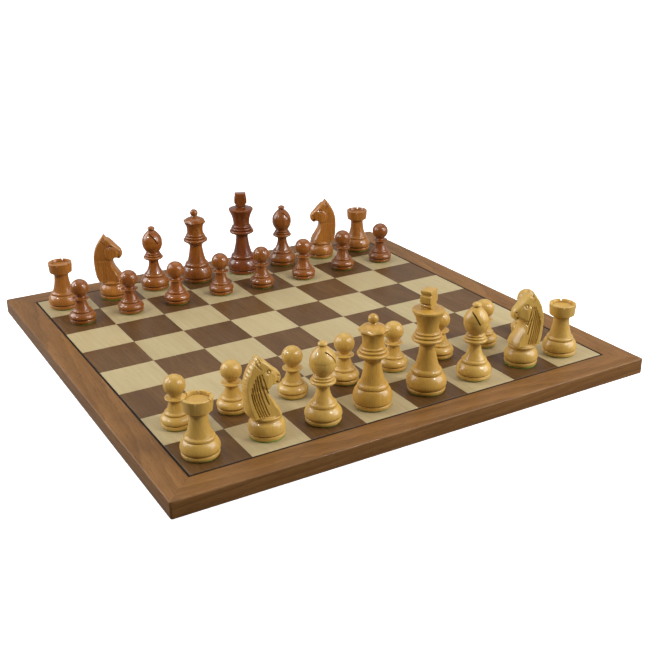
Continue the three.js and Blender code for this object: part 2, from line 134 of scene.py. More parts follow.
def wood(name, tones, deep, grain="Z", ring_scale=190, rings=0.35, figure=0.35, fibres=0.3,
         pores=0.2, tone_spread=0.08, roughness=0.38, coat=0.35, specular=0.5, end_grain=0.0,
         painted_recess_shade=0.0, by_tile=False):
    """Wood with growth rings, long fibres and pores along its grain, under a clear finish.

    The three tones run from dark to light; deep is the colour of pores, end grain and the painted
    shade in hollows, and sharp edges are painted lighter. Each object, or each loose tile of a mesh,
    starts elsewhere in the wood.
    """
    n = Nodes(name)
    place = n.add("TexCoord", {}, "Object")
    if by_tile:
        chance = n.add("NewGeometry", {}, "Random Per Island")
    else:
        chance = n.add("ObjectInfo", {}, "Random")
    turned = n.add("Mapping", {"Vector": place, "Rotation": GRAIN_TURN[grain]})
    tilt = n.add("Mapping", {"Vector": turned, "Rotation": (0.05, 0.035, 0.4)})
    shift = n.add("VectorMath", {0: (3.1, 1.7, 2.3), "Scale": chance}, operation="SCALE")
    start = n.vector("ADD", tilt, shift)

    long_wave = n.vector("MULTIPLY", start, (1.0, 1.0, 0.22))
    warp = n.add("TexNoise", {"Vector": long_wave, "Scale": 38.0, "Detail": 2.0}, "Color")
    centred = n.vector("SUBTRACT", warp, (0.5, 0.5, 0.5))
    pushed = n.vector("ADD", start, n.vector("MULTIPLY", centred, (0.010, 0.010, 0.0)))
    ring = n.add("TexWave", {"Vector": pushed, "Scale": ring_scale, "Distortion": 1.2,
                             "Detail": 2.0, "Detail Scale": 1.5},
                 "Fac", wave_type="BANDS", bands_direction="X", wave_profile="SAW")
    along = n.vector("MULTIPLY", start, (1.0, 1.0, 0.035))
    fibre = n.noise(along, 1500.0, 3.0, 0.65)
    streak = n.noise(along, 260.0, 3.0, 0.6)
    cloud = n.noise(long_wave, 55.0, 2.0)

    total = rings + figure + fibres
    tone = n.maths("MULTIPLY", ring, rings / total)
    tone = n.maths("ADD", tone, n.maths("MULTIPLY", n.spread(streak, 0.3, 0.7), figure / total / 2))
    tone = n.maths("ADD", tone, n.maths("MULTIPLY", n.spread(cloud, 0.3, 0.7), figure / total / 2))
    tone = n.maths("ADD", tone, n.maths("MULTIPLY", n.spread(fibre, 0.3, 0.7), fibres / total))
    dark, middle, light = tones
    colour = n.ramp(tone, [(0.12, dark), (0.88, light), (0.5, middle)])

    short = n.vector("MULTIPLY", start, (1.0, 1.0, 0.05))
    pore = n.spread(n.noise(short, 2100.0, 1.0), 0.62, 0.74)
    colour = n.mix(n.maths("MULTIPLY", pore, pores, clamp=True), colour, deep)
    if end_grain:
        across = n.add("SeparateXYZ", {0: n.add("TexCoord", {}, "Normal")}, "Z")
        cut_end = n.maths("MULTIPLY", n.maths("MULTIPLY", across, across), end_grain, clamp=True)
        colour = n.mix(cut_end, colour, deep)
    # Painted shade: hollows, found by pointiness, are darkened towards the deep colour, and sharp
    # outer edges are painted lighter, towards the light tone, at half that strength.
    if painted_recess_shade:
        hollow = n.spread(n.add("NewGeometry", {}, "Pointiness"), 0.497, 0.44)
        colour = n.mix(n.maths("MULTIPLY", hollow, painted_recess_shade, clamp=True), colour, deep)
        edge_lighter = n.spread(n.add("NewGeometry", {}, "Pointiness"), 0.505, 0.56)
        colour = n.mix(n.maths("MULTIPLY", edge_lighter, painted_recess_shade * 0.5, clamp=True), colour, light)
    level = n.spread(chance, 0.0, 1.0, 1 - tone_spread, 1 + tone_spread)
    colour = n.add("HueSaturation", {"Value": level, "Color": colour})

    gloss = n.spread(n.noise(long_wave, 120.0, 2.0), 0.25, 0.75, roughness - 0.05, roughness + 0.06)
    gloss = n.maths("ADD", gloss, n.maths("MULTIPLY", pore, 0.15))
    relief = n.maths("SUBTRACT", n.maths("MULTIPLY", fibre, 0.4), n.maths("MULTIPLY", pore, pores))
    n.fill(n.shader, {
        "Base Color": colour, "Roughness": gloss, "Specular IOR Level": specular,
        "Coat Weight": coat, "Coat Roughness": 0.06,
        "Normal": n.bump(relief, 0.16, 0.00012),
    })
    return n.material


def felt_material(name, tones):
    """Pressed wool: matted fibres with a soft sheen."""
    n = Nodes(name)
    place = n.add("TexCoord", {}, "Object")
    mat = n.noise(place, 900.0, 4.0, 0.75)
    tuft = n.noise(place, 3200.0, 2.0, 0.7)
    tone = n.maths("ADD", n.maths("MULTIPLY", mat, 0.6), n.maths("MULTIPLY", tuft, 0.4))
    dark, middle, light = tones
    colour = n.ramp(tone, [(0.25, dark), (0.75, light), (0.5, middle)])
    n.fill(n.shader, {
        "Base Color": colour, "Roughness": n.spread(mat, 0.3, 0.7, 0.85, 1.0),
        "Sheen Weight": 0.4, "Sheen Roughness": 0.5, "Specular IOR Level": 0.2,
        "Normal": n.bump(tone, 0.6, 0.0003),
    })
    return n.material


def pressed_board_material(name, tones):
    """The hidden core: pressed wood fibre, speckled with coarse and fine chips."""
    n = Nodes(name)
    place = n.add("TexCoord", {}, "Object")
    chip = n.add("TexVoronoi", {"Vector": place, "Scale": 900.0}, "Distance")
    dust = n.noise(place, 2600.0, 3.0, 0.7)
    tone = n.maths("ADD", n.maths("MULTIPLY", chip, 0.7), n.maths("MULTIPLY", dust, 0.5))
    dark, middle, light = tones
    n.fill(n.shader, {
        "Base Color": n.ramp(tone, [(0.2, dark), (0.85, light), (0.5, middle)]),
        "Roughness": n.spread(dust, 0.3, 0.7, 0.75, 0.92),
        "Normal": n.bump(tone, 0.4, 0.0002),
    })
    return n.material


BOXWOOD_TONES = (srgb(188, 143, 58), srgb(203, 161, 74), srgb(216, 179, 94))
HONEY_TONES = (srgb(176, 128, 44), srgb(193, 147, 58), srgb(209, 167, 80))
SHEESHAM_TONES = (srgb(110, 53, 6), srgb(139, 74, 11), srgb(168, 102, 25))
TAN_TONES = (srgb(142, 82, 20), srgb(170, 104, 33), srgb(196, 132, 52))
RED_TONES = (srgb(86, 34, 3), srgb(114, 52, 6), srgb(142, 76, 16))
WALNUT_TONES = (srgb(76, 50, 21), srgb(94, 64, 30), srgb(110, 79, 41))
MAPLE_TONES = (srgb(172, 153, 110), srgb(181, 163, 121), srgb(189, 172, 131))
RAIL_TONES = (srgb(102, 67, 28), srgb(127, 86, 41), srgb(148, 105, 57))
DYED_TONES = (srgb(22, 13, 6), srgb(32, 20, 10), srgb(44, 29, 16))
FELT_TONES = (srgb(58, 94, 18), srgb(94, 142, 34), srgb(132, 180, 62))
CORE_TONES = (srgb(98, 76, 50), srgb(134, 108, 74), srgb(164, 136, 98))
# The deep colours fill pores and end grain, and on the men they are also the painted shade in
# hollows.
BOXWOOD_DEEP = srgb(120, 72, 18)
SHEESHAM_DEEP = srgb(66, 26, 6)
WALNUT_DEEP = srgb(64, 42, 22)
MAPLE_DEEP = srgb(160, 138, 96)
RAIL_DEEP = srgb(62, 40, 20)
DYED_DEEP = srgb(6, 4, 3)


def boxwood(name, tones):
    """The white men's wood: pale, close and even."""
    return wood(name, tones, BOXWOOD_DEEP, rings=0.12, figure=0.4, fibres=0.25, pores=0.12,
                end_grain=0.1, painted_recess_shade=0.85, roughness=0.34, coat=0.4, tone_spread=0.05)


def sheesham(name, tones):
    """The black men's wood: brown, open in the grain and glossy."""
    return wood(name, tones, SHEESHAM_DEEP, rings=0.25, figure=0.5, fibres=0.3, pores=0.4,
                end_grain=0.15, painted_recess_shade=0.9, roughness=0.3, coat=0.6, tone_spread=0.12)


pale_boxwood = boxwood("boxwood", BOXWOOD_TONES)
honey_boxwood = boxwood("honey_boxwood", HONEY_TONES)
brown_sheesham = sheesham("sheesham", SHEESHAM_TONES)
tan_sheesham = sheesham("tan_sheesham", TAN_TONES)
red_sheesham = sheesham("red_sheesham", RED_TONES)
WOODS = {
    "white": {"king": honey_boxwood, "queen": honey_boxwood, "bishop": pale_boxwood,
              "knight": pale_boxwood, "rook": pale_boxwood, "pawn": pale_boxwood},
    "black": {"king": red_sheesham, "queen": brown_sheesham, "bishop": brown_sheesham,
              "knight": tan_sheesham, "rook": tan_sheesham, "pawn": brown_sheesham},
}
dark_square_wood = wood("walnut_veneer", WALNUT_TONES, WALNUT_DEEP, grain="Y", ring_scale=90,
                        rings=0.15, figure=0.5, fibres=0.3, pores=0.4, tone_spread=0.1,
                        by_tile=True, roughness=0.42, coat=0.12, specular=0.35)
light_square_wood = wood("maple_veneer", MAPLE_TONES, MAPLE_DEEP, grain="Y", ring_scale=70,
                         rings=0.12, figure=0.5, fibres=0.2, pores=0.15, tone_spread=0.035,
                         by_tile=True, roughness=0.42, coat=0.12, specular=0.35)
rail_wood = wood("walnut", RAIL_TONES, RAIL_DEEP, grain="X", ring_scale=60, rings=0.3,
                 figure=0.5, fibres=0.35, pores=0.5, tone_spread=0.05, roughness=0.46, coat=0.08,
                 specular=0.3)
backing_wood = wood("backing_veneer", WALNUT_TONES, WALNUT_DEEP, grain="Y", ring_scale=40,
                    rings=0.3, figure=0.5, fibres=0.4, pores=0.5, roughness=0.6, coat=0.0)
dyed_wood = wood("dyed_black_wood", DYED_TONES, DYED_DEEP, grain="X", rings=0.1, figure=0.3,
                 fibres=0.4, pores=0.3, roughness=0.5, coat=0.0, specular=0.2)
felt_green = felt_material("green_felt", FELT_TONES)
core_board = pressed_board_material("pressed_board", CORE_TONES)


# ---- Pieces ----

WELD = 1e-7  # points closer than this, in metres, are one


def new_piece(name, mesh, material, body, nodes=(), place=(0, 0, 0), turn=0.0):
    """Shows a mesh as a piece that rides on a body, standing for the CAD nodes it replaces."""
    mesh.materials.clear()
    mesh.materials.append(material)
    piece = bpy.data.objects.new(name, mesh)
    bpy.context.collection.objects.link(piece)
    piece.location = place
    piece.rotation_euler = (0, 0, math.radians(turn))
    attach(piece, body)
    if nodes:
        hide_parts(*nodes)
    return piece


def smooth(mesh, sharp_angle=38):
    """Smooth shading, except over edges sharper than an angle in degrees."""
    mesh.shade_smooth()
    mesh.set_sharp_from_angle(angle=math.radians(sharp_angle))
    return mesh


def mesh_from(name, vertices, faces):
    """A closed mesh from points in millimetres, its faces turned outwards."""
    mesh = bpy.data.meshes.new(name)
    mesh.from_pydata([tuple(np.array(v, float) * MM) for v in vertices], [], faces)
    shell = bmesh.new()
    shell.from_mesh(mesh)
    bmesh.ops.remove_doubles(shell, verts=shell.verts, dist=WELD)
    bmesh.ops.recalc_face_normals(shell, faces=shell.faces)
    shell.to_mesh(mesh)
    shell.free()
    return mesh


# ---- The turned men ----

TURNED_SIDES = 64
STEP_HEIGHT = 0.8  # between the points of a curved element,
FEWEST_STEPS = 6   # of which it has at least this many
BALL_STEPS = 18
EASED_CUT = 0.22   # taken off each corner sharper than this angle
EASED_ANGLE = math.radians(24)
CURVE = 1.0    # how full a curved element is: a parabola,
BELLY = 0.74   # a fuller swelling,
BEAD = 0.5     # or a half round


class Turning:
    """A turned man's half section, drawn from the foot up as (radius, height) in millimetres."""

    def __init__(self, foot):
        self.points = [(foot, 0.0)]

    def element(self, radius, rise, middle=None, fullness=CURVE, peak=0.5):
        """Goes up to a new radius, straight, or through a middle radius at a share of the rise."""
        start, bottom = self.points[-1]
        if middle is None:
            self.points.append((radius, bottom + rise))
            return self
        bulge = middle - start - (radius - start) * peak
        skew = math.log(0.5) / math.log(peak)
        steps = max(FEWEST_STEPS, math.ceil(abs(rise) / STEP_HEIGHT))
        for i in range(1, steps + 1):
            share = (1 - math.cos(math.pi * i / steps)) / 2
            swell = bulge * max(0.0, 1 - (2 * share ** skew - 1) ** 2) ** fullness
            self.points.append((start + (radius - start) * share + swell, bottom + rise * share))
        return self

    def ball(self, radius):
        """Closes the top with a ball that stands on the neck below it."""
        neck, bottom = self.points[-1]
        centre = bottom + math.sqrt(radius ** 2 - neck ** 2)
        first = math.asin(neck / radius)
        for i in range(1, BALL_STEPS + 1):
            angle = first + (math.pi - first) * i / BALL_STEPS
            reach = max(0.0, radius * math.sin(angle))
            self.points.append((reach, centre - radius * math.cos(angle)))
        return self

    def eased(self):
        """The section with its sharp corners rounded by a hand's touch of sandpaper."""
        done = [self.points[0]]
        for before, here, after in zip(self.points, self.points[1:], self.points[2:]):
            back = Vector(before) - Vector(here)
            on = Vector(after) - Vector(here)
            if min(back.length, on.length) < 1e-6:
                continue
            if back.angle(-on) < EASED_ANGLE:
                done.append(here)
                continue
            start = Vector(here) + back.normalized() * min(EASED_CUT, back.length * 0.45)
            end = Vector(here) + on.normalized() * min(EASED_CUT, on.length * 0.45)
            middle = (start + end) / 4 + Vector(here) / 2
            done += [tuple(start), tuple(middle), tuple(end)]
        done.append(self.points[-1])
        return done


def lathe(name, turning, height, shape=None):
    """Turns a half section into a closed mesh, its foot at the origin and its height in metres.

    A shape may change the radius at each radius, height and angle.
    """
    section = turning.eased()
    stretch = height / MM / max(z for _, z in section)
    vertices = [(0, 0, 0)]
    for radius, z in section[:-1]:
        for i in range(TURNED_SIDES):
            angle = 2 * math.pi * i / TURNED_SIDES
            reach = radius if shape is None else shape(radius, z, angle)
            vertices.append((reach * math.cos(angle), reach * math.sin(angle), z * stretch))
    vertices.append((0, 0, section[-1][1] * stretch))
    last = len(vertices) - 1
    faces = [(0, 1 + (i + 1) % TURNED_SIDES, 1 + i) for i in range(TURNED_SIDES)]
    for row in range(len(section) - 2):
        low, high = 1 + row * TURNED_SIDES, 1 + (row + 1) * TURNED_SIDES
        for i in range(TURNED_SIDES):
            after = (i + 1) % TURNED_SIDES
            faces.append((low + i, low + after, high + after, high + i))
    top_row = last - TURNED_SIDES
    faces += [(top_row + i, top_row + (i + 1) % TURNED_SIDES, last) for i in range(TURNED_SIDES)]
    return mesh_from(name, vertices, faces)


LIP_RISE = 2.7
GROOVE_RISE = 0.7
BELLY_PEAK = 0.42  # of the belly's rise


def base_turning(foot, lip, lip_swell, groove, groove_waist, belly_rise, belly, step):
    """The foot that all the men share: a rounded lip, a groove, a full belly and a step.

    The sizes are radii, apart from the belly's rise. Each later element of a man gives its end
    radius, its rise and, where it is curved, the radius that it passes through.
    """
    return (Turning(foot)
            .element(lip, LIP_RISE, lip_swell, BEAD)
            .element(groove, GROOVE_RISE, groove_waist)
            .element(step, belly_rise, belly, BELLY, peak=BELLY_PEAK))


def king_turning():
    return (base_turning(13.0, 13.3, 13.6, 13.1, 12.5, 9.6, 14.1, 10.9)
            .element(10.2, 0.15)
            .element(9.2, 3.6, 10.8, BEAD)
            .element(8.8, 0.3)
            .element(5.5, 16.6, 6.6)
            .element(9.6, 3.6, 6.5)
            .element(9.8, 2.8, 11.2, BEAD)
            .element(8.9, 0.3)
            .element(8.6, 2.1, 9.8, BEAD)
            .element(7.8, 0.3)
            .element(7.6, 1.7, 8.7, BEAD)
            .element(7.4, 0.6)
            .element(11.1, 13.6, 8.2)
            .element(11.2, 1.4)
            .element(10.4, 0.35)
            .element(4.4, 0.9, 8.0)
            .element(4.3, 0.6)
            .element(0.0, 0.1))


def queen_turning():
    return (base_turning(12.6, 12.9, 13.2, 12.7, 12.1, 10.2, 13.6, 10.9)
            .element(10.2, 0.15)
            .element(9.0, 3.3, 10.6, BEAD)
            .element(8.6, 0.3)
            .element(5.7, 15.1, 6.7)
            .element(9.6, 4.2, 6.9)
            .element(9.6, 2.8, 10.9, BEAD)
            .element(8.7, 0.3)
            .element(8.4, 2.0, 9.4, BEAD)
            .element(7.7, 0.3)
            .element(7.6, 1.6, 8.3, BEAD)
            .element(7.5, 0.3)
            .element(7.7, 7.1, 7.15)
            .element(10.2, 3.4, 8.4)
            .element(10.4, 0.6)
            .element(5.6, 3.5, 8.9)
            .element(2.5, 1.9, 3.3)
            .ball(3.5))


def bishop_turning():
    return (base_turning(11.6, 11.9, 12.2, 11.7, 11.1, 7.6, 12.5, 9.3)
            .element(8.8, 0.15)
            .element(7.9, 2.7, 9.2, BEAD)
            .element(7.5, 0.3)
            .element(4.3, 10.2, 5.1)
            .element(7.6, 2.8, 5.1)
            .element(7.6, 2.4, 8.7, BEAD)
            .element(6.8, 0.3)
            .element(6.5, 1.5, 7.4, BEAD)
            .element(5.8, 0.3)
            .element(5.7, 1.2, 6.5, BEAD)
            .element(5.4, 0.5)
            .element(8.75, 9.6, 8.3)
            .element(2.4, 10.2, 7.3, 0.9)
            .element(2.0, 0.4)
            .element(0.0, 3.2, 3.1, BEAD))


def knight_turning():
    return (base_turning(11.5, 11.9, 12.1, 11.6, 11.0, 7.4, 12.4, 10.4)
            .element(9.5, 2.3, 9.5)
            .element(9.6, 0.1)
            .element(9.6, 1.5, 10.1, BEAD)
            .element(9.0, 0.1)
            .element(8.8, 0.5)
            .element(0.0, 0.0))


def rook_turning():
    return (base_turning(11.8, 12.1, 12.4, 11.9, 11.3, 7.8, 12.7, 10.0)
            .element(9.5, 0.15)
            .element(8.8, 2.3, 9.9, BEAD)
            .element(8.4, 0.3)
            .element(5.9, 14.4, 6.5)
            .element(9.3, 2.5, 7.3)
            .element(9.9, 8.2, 9.7)
            .element(9.6, 0.3)
            .element(7.9, 0.0)
            .element(7.5, -2.2)
            .element(0.0, -0.6, 4.0))


def pawn_turning():
    return (base_turning(9.9, 10.2, 10.5, 9.9, 9.4, 5.2, 10.8, 7.9)
            .element(7.5, 0.15)
            .element(6.8, 2.1, 7.9, BEAD)
            .element(6.5, 0.3)
            .element(4.3, 7.8, 5.0)
            .element(6.4, 0.7)
            .element(6.4, 1.1, 7.1, BEAD)
            .element(4.4, 0.5)
            .element(4.4, 1.9, 4.1)
            .ball(7.4))


def box_mesh(name, size, place, turns=()):
    """A plain block used only as a saw's cut, in millimetres."""
    block = bmesh.new()
    bmesh.ops.create_cube(block, size=1)
    bmesh.ops.scale(block, vec=Vector(size) * MM, verts=block.verts)
    for axis, degrees in turns:
        turn = Matrix.Rotation(math.radians(degrees), 3, axis)
        bmesh.ops.rotate(block, matrix=turn, verts=block.verts)
    bmesh.ops.translate(block, vec=Vector(place) * MM, verts=block.verts)
    mesh = bpy.data.meshes.new(name)
    block.to_mesh(mesh)
    block.free()
    return mesh


def sawn(mesh, cuts):
    """The mesh with each cut taken out of it."""
    body = bpy.data.objects.new("work", mesh)
    bpy.context.collection.objects.link(body)
    cutters = []
    for cut in cuts:
        cutter = bpy.data.objects.new("cutter", cut)
        bpy.context.collection.objects.link(cutter)
        cutters.append(cutter)
        modifier = body.modifiers.new("cut", "BOOLEAN")
        modifier.operation = "DIFFERENCE"
        modifier.solver = "EXACT"
        modifier.object = cutter
    scene_now = bpy.context.evaluated_depsgraph_get()
    result = bpy.data.meshes.new_from_object(body.evaluated_get(scene_now))
    for spare in (body, *cutters):
        bpy.data.objects.remove(spare)
    return result


def joined(first, second):
    """Two meshes as one."""
    both = bmesh.new()
    both.from_mesh(first)
    both.from_mesh(second)
    mesh = bpy.data.meshes.new(first.name)
    both.to_mesh(mesh)
    both.free()
    return mesh


FINIAL_HEIGHT = 12.4
FINIAL_HALF_DEPTH = 4.0
FINIAL_EDGE = 0.4
FINIAL_SIDE = [(4.0, 0.0), (4.9, 1.6), (3.7, 2.7), (5.7, 3.8), (5.7, 8.4), (3.7, 9.5),
               (5.1, 10.6), (5.1, FINIAL_HEIGHT)]


def finial_mesh(bottom):
    """The king's cross: a block whose short arms are set off by notches, its edges rounded."""
    outline = FINIAL_SIDE + [(-x, z) for x, z in reversed(FINIAL_SIDE)]
    block = bmesh.new()
    front = [block.verts.new(Vector((x, -FINIAL_HALF_DEPTH, z + bottom)) * MM) for x, z in outline]
    back = [block.verts.new(Vector((x, FINIAL_HALF_DEPTH, z + bottom)) * MM) for x, z in outline]
    block.faces.new(front)
    block.faces.new(list(reversed(back)))
    count = len(outline)
    for i in range(count):
        block.faces.new((front[(i + 1) % count], front[i], back[i], back[(i + 1) % count]))
    bmesh.ops.recalc_face_normals(block, faces=block.faces)
    bmesh.ops.bevel(block, geom=block.edges, offset=FINIAL_EDGE * MM, segments=3,
                    profile=0.5, affect="EDGES")
    mesh = bpy.data.meshes.new("finial")
    block.to_mesh(mesh)
    block.free()
    return mesh


CORONET_BOTTOM = 53    # the height from which the queen is scalloped,
CORONET_INNER = 7.8    # the radius at which the hollows start,
CORONET_BLEND = 2.0    # how much further out they are full,
CORONET_HOLLOW = 1.25  # and how deep they are then


def scalloped(radius, z, angle):
    """Eight shallow hollows round the edge of the queen's coronet."""
    if z < CORONET_BOTTOM or radius < CORONET_INNER:
        return radius
    weight = min(1.0, (radius - CORONET_INNER) / CORONET_BLEND)
    return radius - CORONET_HOLLOW * weight * abs(math.sin(4 * angle)) ** 0.9


# ---- The carved horse's head ----

HEAD_HEIGHT = 40.6
HEAD_OUTLINE = [  # forward of the axis and up from the base, nose first, then down and round
    (9.4, 26.2), (9.9, 24.2), (9.8, 22.4), (9.1, 20.7), (8.0, 19.4), (6.7, 18.9), (5.6, 19.2),
    (4.6, 20.0), (3.6, 20.0), (2.6, 19.0), (1.8, 18.0), (1.2, 17.0), (1.6, 14.4),
    (2.6, 11.8), (4.2, 9.2), (6.0, 6.6), (7.6, 4.2), (8.7, 2.2), (9.2, 0.4), (9.0, 0.0),
    (4.5, 0.0), (0.0, 0.0), (-5.0, 0.0), (-11.0, 0.0), (-12.2, 0.2), (-13.4, 0.9), (-14.2, 2.6),
    (-14.8, 5.8), (-15.2, 10.0), (-15.4, 14.4), (-15.4, 18.2), (-15.1, 21.6), (-14.4, 25.0),
    (-13.3, 28.2), (-11.8, 31.4), (-10.1, 34.2), (-8.3, 36.6), (-6.5, 38.8), (-5.2, 40.6),
    (-4.3, 39.4), (-3.5, 37.8), (-2.5, 37.2), (-1.7, 37.6), (-1.0, 36.9), (0.5, 35.7),
    (2.2, 33.9), (3.9, 32.1), (5.4, 30.6), (7.0, 29.2), (8.5, 27.9),
]
MANE_GROOVES = [  # top, a point that it bows through, and foot
    ((-3.6, 28.6), (-1.8, 21.6), (-0.2, 15.6)),
    ((-5.2, 28.4), (-3.4, 18.8), (-0.2, 8.6)),
    ((-6.7, 27.6), (-4.8, 15.4), (-0.6, 1.2)),
    ((-8.0, 25.8), (-6.1, 13.4), (-2.2, 0.8)),
    ((-9.2, 23.4), (-7.3, 11.8), (-3.7, 0.8)),
    ((-10.2, 20.6), (-8.5, 10.4), (-5.2, 0.8)),
    ((-11.0, 17.2), (-9.6, 9.2), (-6.7, 0.8)),
]
MANE_GROOVE_DEPTHS = {"white": 1.05, "black": 0.2}
MANE_GROOVE_HALF_WIDTH = 0.56
EYE = (0.9, 29.8)
NOSTRIL = (8.0, 25.4)
MOUTH = (6.8, 21.2)
CHEEK = (0.8, 24.4)
CHEEK_RADIUS = 6.2
CHEST_LINE = [(1.2, 17.0), (1.6, 14.4), (2.6, 11.8), (4.2, 9.2), (6.0, 6.6), (7.6, 4.2),
              (9.2, 0.4)]
CREST_LINE = [(-13.4, 0.9), (-14.8, 5.8), (-15.4, 14.4), (-15.1, 21.6), (-13.3, 28.2),
              (-10.1, 34.2), (-6.5, 38.8), (-5.2, 40.6)]
EAR_HOLLOW = [(-5.3, 39.0), (-4.4, 36.4)]
EAR_LINE = [(-7.2, 36.2), (-5.6, 33.6), (-3.9, 32.0)]
MOUTH_LINE = [(6.8, 21.2), (9.5, 21.7)]
JAW_BOTTOM = 17.8   # above it the head narrows towards the muzzle
ROUNDING = 1.5      # from the outline inwards
FOOT_SLICE = 0.25   # the flat foot, below this height, isn't rounded
TOOTH_DEPTH, TOOTH_PITCH = 0.42, 2.4
GRID_STEP = 0.55
EYE_RINGS = (0.0, 0.4, 0.8, 1.1, 1.5, 1.9)
NOSTRIL_RINGS = (0.0, 0.45, 0.9)
MOUTH_RINGS = (0.0, 0.6, 1.25)
RING_POINTS = 12


def distance_to(points, line):
    """How far each point is from a line of points."""
    line = np.array(line, float)
    least = np.full(len(points), np.inf)
    for start, end in zip(line[:-1], line[1:]):
        run = end - start
        share = np.clip(((points - start) @ run) / max(run @ run, 1e-12), 0, 1)
        gap = points - start - share[:, None] * run
        least = np.minimum(least, np.hypot(gap[:, 0], gap[:, 1]))
    return least


def spaced(line, step):
    """The line again with points at even steps along it."""
    line = np.array(line, float)
    lengths = np.hypot(*np.diff(line, axis=0).T)
    along = np.concatenate([[0], np.cumsum(lengths)])
    count = max(2, int(round(along[-1] / step)) + 1)
    places = np.linspace(0, along[-1], count)
    return np.stack([np.interp(places, along, line[:, k]) for k in (0, 1)], axis=1)


def rounded_loop(loop):
    """The closed loop with its corners cut, so that it flows."""
    loop = np.array(loop, float)
    softer = []
    for start, end in zip(loop, np.roll(loop, -1, axis=0)):
        softer += [start * 0.75 + end * 0.25, start * 0.25 + end * 0.75]
    return np.array(softer)


def bowed(top, through, foot):
    """A smooth bow of points from top to foot through a third point."""
    top, through, foot = (np.array(p, float) for p in (top, through, foot))
    control = 2 * through - (top + foot) / 2
    share = np.linspace(0, 1, 25)[:, None]
    return (1 - share) ** 2 * top + 2 * share * (1 - share) * control + share ** 2 * foot


def dent(distance, radius, depth):
    """A round-bottomed hollow: its depth at each distance from the middle."""
    return depth * np.clip(1 - (distance / radius) ** 2, 0, None)


def near(points, middle):
    """How far each point is from one point."""
    return np.hypot(*(points - np.array(middle)).T)


def head_half_thickness(points, sides, grooves, groove_depth):
    """Half the head's thickness at each point of its side view, with all its carving."""
    x, z = points.T
    half = np.interp(z, [0, 6, 14, 25, 33, 41], [8.2, 7.4, 6.3, 5.6, 5.0, 4.0])
    half = np.minimum(half, 4.2 + 2.2 * distance_to(points, CHEST_LINE))
    half = np.minimum(half, 3.2 + 1.5 * distance_to(points, CREST_LINE))
    muzzle = np.interp(x, [-0.5, 5.5, 9.9], [5.8, 3.9, 3.0])
    half = np.where(z > JAW_BOTTOM, np.minimum(half, muzzle), half)
    reach = 13.6 + 1.2 * z  # round the axis, so that the foot follows the round base
    half = np.minimum(half, np.sqrt(np.clip(reach ** 2 - x ** 2, 6.0, None)))
    half += 0.7 * np.clip((CHEEK_RADIUS - near(points, CHEEK)) / 1.2, 0, 1)
    half -= dent(near(points, EYE), 1.9, 1.1)
    half += dent(near(points, EYE), 1.05, 1.15)
    half -= dent(near(points, NOSTRIL), 0.9, 0.9)
    half -= dent(near(points, MOUTH), 1.25, 1.8)
    half -= dent(distance_to(points, MOUTH_LINE), 0.45, 0.45)
    half -= dent(distance_to(points, EAR_HOLLOW), 0.95, 0.9)
    half -= dent(distance_to(points, EAR_LINE), 0.5, 0.5)
    for groove in grooves:
        gap = distance_to(points, groove)
        half -= groove_depth * np.clip(1 - gap / MANE_GROOVE_HALF_WIDTH, 0, 1)
    rim = distance_to(points, sides)
    return half * (0.5 + 0.5 * np.sqrt(1 - np.clip(1 - rim / ROUNDING, 0, 1) ** 2))



def notched_crest(outline):
    """The outline with the ends of the mane's locks as small teeth down the crest."""
    done = []
    for i, point in enumerate(outline):
        along = outline[(i + 1) % len(outline)] - outline[i - 1]
        inward = np.array([-along[1], along[0]]) / max(np.hypot(*along), 1e-9)
        on_crest = distance_to(point[None], CREST_LINE)[0] < 0.5 and 3 < point[1] < 38
        tooth = TOOTH_DEPTH * abs(math.sin(math.pi * point[1] / TOOTH_PITCH)) if on_crest else 0.0
        done.append(point - inward * tooth)
    return np.array(done)


def head_side_view():
    """The head's side view as triangles: its points, faces, outline and groove lines."""
    loop = rounded_loop(HEAD_OUTLINE)
    outline = notched_crest(spaced(np.vstack([loop, loop[:1]]), 0.5)[:-1])
    grooves = [spaced(bowed(*groove), 0.6) for groove in MANE_GROOVES]
    marks = [outline]
    edges, count = [], len(outline)
    for groove in grooves:
        run = np.gradient(groove, axis=0)
        across = np.stack([-run[:, 1], run[:, 0]], axis=1) / np.hypot(*run.T)[:, None]
        for line in (groove, groove + 0.55 * across, groove - 0.55 * across):
            marks.append(line)
            edges += [(count + i, count + i + 1) for i in range(len(line) - 1)]
            count += len(line)
    features = ((EYE, EYE_RINGS), (NOSTRIL, NOSTRIL_RINGS), (MOUTH, MOUTH_RINGS))
    for middle, radii in features:
        for radius in radii:
            points_round = 1 if radius == 0 else RING_POINTS
            turns = np.arange(points_round) * 2 * math.pi / RING_POINTS
            marks.append(np.stack([np.cos(turns), np.sin(turns)], axis=1) * radius + middle)
    low, high = outline.min(axis=0), outline.max(axis=0)
    across, up = np.meshgrid(np.arange(low[0], high[0], GRID_STEP),
                             np.arange(low[1], high[1], GRID_STEP))
    across[1::2] += GRID_STEP / 2
    grid = np.stack([across.ravel(), up.ravel()], axis=1)
    clear = distance_to(grid, np.vstack([outline, outline[:1]])) > 0.3
    for groove in grooves:
        clear &= distance_to(grid, groove) > 0.7
    for middle, radii in features:
        clear &= near(grid, middle) > radii[-1] + 0.25
    marks.append(grid[clear])
    points = [Vector(p) for p in np.vstack(marks)]
    points, _, faces, *_ = delaunay_2d_cdt(points, edges, [list(range(len(outline)))], 1, 1e-4)
    return np.array([tuple(p) for p in points]), faces, outline, grooves


